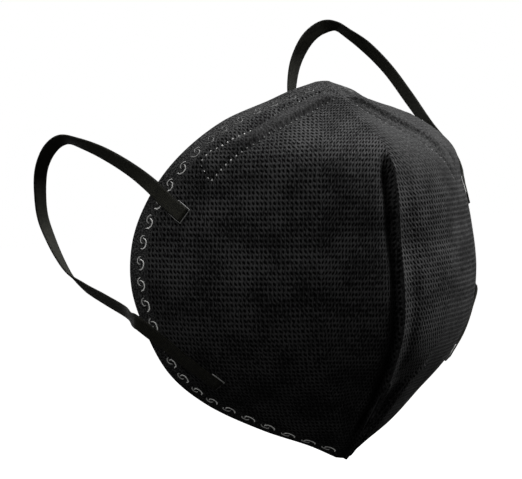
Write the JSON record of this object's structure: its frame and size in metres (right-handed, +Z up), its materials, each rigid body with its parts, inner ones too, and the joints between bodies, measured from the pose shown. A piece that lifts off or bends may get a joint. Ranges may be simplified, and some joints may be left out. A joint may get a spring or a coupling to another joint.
{
  "type": "respirator mask",
  "caption": "Fold-flat black respirator mask with a front crease, a bendable nose strip and flat elastic ear loops, opened as worn.",
  "frame": {"origin": "centre of the face opening in the mask's mirror plane, where the wearer's face seats", "axes": "+Z up towards the bridge of the nose, +Y back towards the wearer, so the front crease faces -Y; +X to the right of a viewer who looks at the front"},
  "size_m": [0.1695, 0.155, 0.1771],
  "materials": {
    "cloth": "matt spunbond non-woven with an embossed dot pattern, rim pressed by a weld",
    "nose_strip": "the same non-woven, drawn over a flat strip",
    "elastic": "flat knitted elastic, slightly shiny"
  },
  "bodies": {
    "root": {"left_panel": "cloth", "right_panel": "cloth", "nose_strip": "nose_strip", "left_ear_loop": "elastic", "right_ear_loop": "elastic"}
  },
  "joints": []
}
